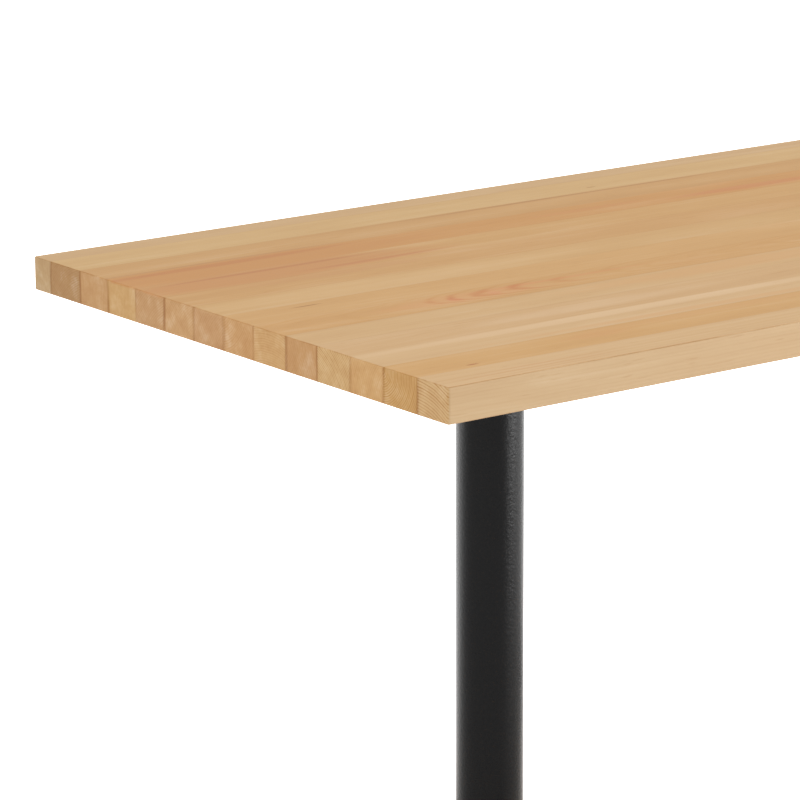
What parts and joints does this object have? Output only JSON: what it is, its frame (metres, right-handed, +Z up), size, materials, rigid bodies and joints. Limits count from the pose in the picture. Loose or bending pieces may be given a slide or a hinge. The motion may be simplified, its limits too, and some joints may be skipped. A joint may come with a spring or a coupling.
{
  "type": "rectangular table",
  "caption": "Rectangular table with an edge-glued butcher-block top on a cast T foot and a round black steel column at each end, standing on levelling glides.",
  "frame": {"origin": "on the floor under the middle of the top", "axes": "+X along the length of the top, +Y across it, +Z up to the tabletop"},
  "size_m": [1.524, 0.762, 0.762],
  "materials": {
    "pale_wood": "clear satin lacquer",
    "tan_wood": "clear satin lacquer",
    "orange_wood": "clear satin lacquer",
    "red_wood": "clear satin lacquer",
    "column_black": "fine textured black powder coat",
    "casting_black": "black powder coat over sand-cast iron",
    "zinc_steel": "bright zinc plate",
    "sole_nylon": "moulded nylon"
  },
  "bodies": {
    "table": {"top_stave_01": "pale_wood", "top_stave_02": "tan_wood", "top_stave_03": "tan_wood", "top_stave_04": "pale_wood", "top_stave_05": "pale_wood", "top_stave_06": "orange_wood", "top_stave_07": "tan_wood", "top_stave_08": "tan_wood", "top_stave_09": "tan_wood", "top_stave_10": "red_wood", "top_stave_11": "red_wood", "top_stave_12": "orange_wood", "top_stave_13": "pale_wood", "top_stave_14": "tan_wood", "left_foot": "casting_black", "left_column": "column_black", "left_spider": "casting_black", "left_tie_rod": "zinc_steel", "left_rod_washer": "zinc_steel", "left_rod_nut": "zinc_steel", "left_spider_screws": "zinc_steel", "right_foot": "casting_black", "right_column": "column_black", "right_spider": "casting_black", "right_tie_rod": "zinc_steel", "right_rod_washer": "zinc_steel", "right_rod_nut": "zinc_steel", "right_spider_screws": "zinc_steel"},
    "left_front_glide_pad": {"left_front_glide_cup": "zinc_steel", "left_front_glide_sole": "sole_nylon"},
    "left_front_glide_screw": {"left_front_glide_stud": "zinc_steel"},
    "left_back_glide_pad": {"left_back_glide_cup": "zinc_steel", "left_back_glide_sole": "sole_nylon"},
    "left_back_glide_screw": {"left_back_glide_stud": "zinc_steel"},
    "right_front_glide_pad": {"right_front_glide_cup": "zinc_steel", "right_front_glide_sole": "sole_nylon"},
    "right_front_glide_screw": {"right_front_glide_stud": "zinc_steel"},
    "right_back_glide_pad": {"right_back_glide_cup": "zinc_steel", "right_back_glide_sole": "sole_nylon"},
    "right_back_glide_screw": {"right_back_glide_stud": "zinc_steel"}
  },
  "joints": [
    {"name": "left_front_glide_height", "type": "slide", "parent": "table", "child": "left_front_glide_pad", "axis": [0, 0, -1], "range_m": [0, 0.01]},
    {"name": "left_front_glide_turn", "type": "hinge", "parent": "left_front_glide_pad", "child": "left_front_glide_screw", "pos_m": [-0.412, -0.245, 0.0135], "axis": [0, 0, -1], "range_deg": [0, 2400]},
    {"name": "left_back_glide_height", "type": "slide", "parent": "table", "child": "left_back_glide_pad", "axis": [0, 0, -1], "range_m": [0, 0.01]},
    {"name": "left_back_glide_turn", "type": "hinge", "parent": "left_back_glide_pad", "child": "left_back_glide_screw", "pos_m": [-0.412, 0.245, 0.0135], "axis": [0, 0, -1], "range_deg": [0, 2400]},
    {"name": "right_front_glide_height", "type": "slide", "parent": "table", "child": "right_front_glide_pad", "axis": [0, 0, -1], "range_m": [0, 0.01]},
    {"name": "right_front_glide_turn", "type": "hinge", "parent": "right_front_glide_pad", "child": "right_front_glide_screw", "pos_m": [0.412, -0.245, 0.0135], "axis": [0, 0, -1], "range_deg": [0, 2400]},
    {"name": "right_back_glide_height", "type": "slide", "parent": "table", "child": "right_back_glide_pad", "axis": [0, 0, -1], "range_m": [0, 0.01]},
    {"name": "right_back_glide_turn", "type": "hinge", "parent": "right_back_glide_pad", "child": "right_back_glide_screw", "pos_m": [0.412, 0.245, 0.0135], "axis": [0, 0, -1], "range_deg": [0, 2400]}
  ],
  "couplings": [
    {"joint": "left_front_glide_turn", "follows": "left_front_glide_height", "rad_per_m": 4188.8},
    {"joint": "left_back_glide_turn", "follows": "left_back_glide_height", "rad_per_m": 4188.8},
    {"joint": "right_front_glide_turn", "follows": "right_front_glide_height", "rad_per_m": 4188.8},
    {"joint": "right_back_glide_turn", "follows": "right_back_glide_height", "rad_per_m": 4188.8}
  ]
}
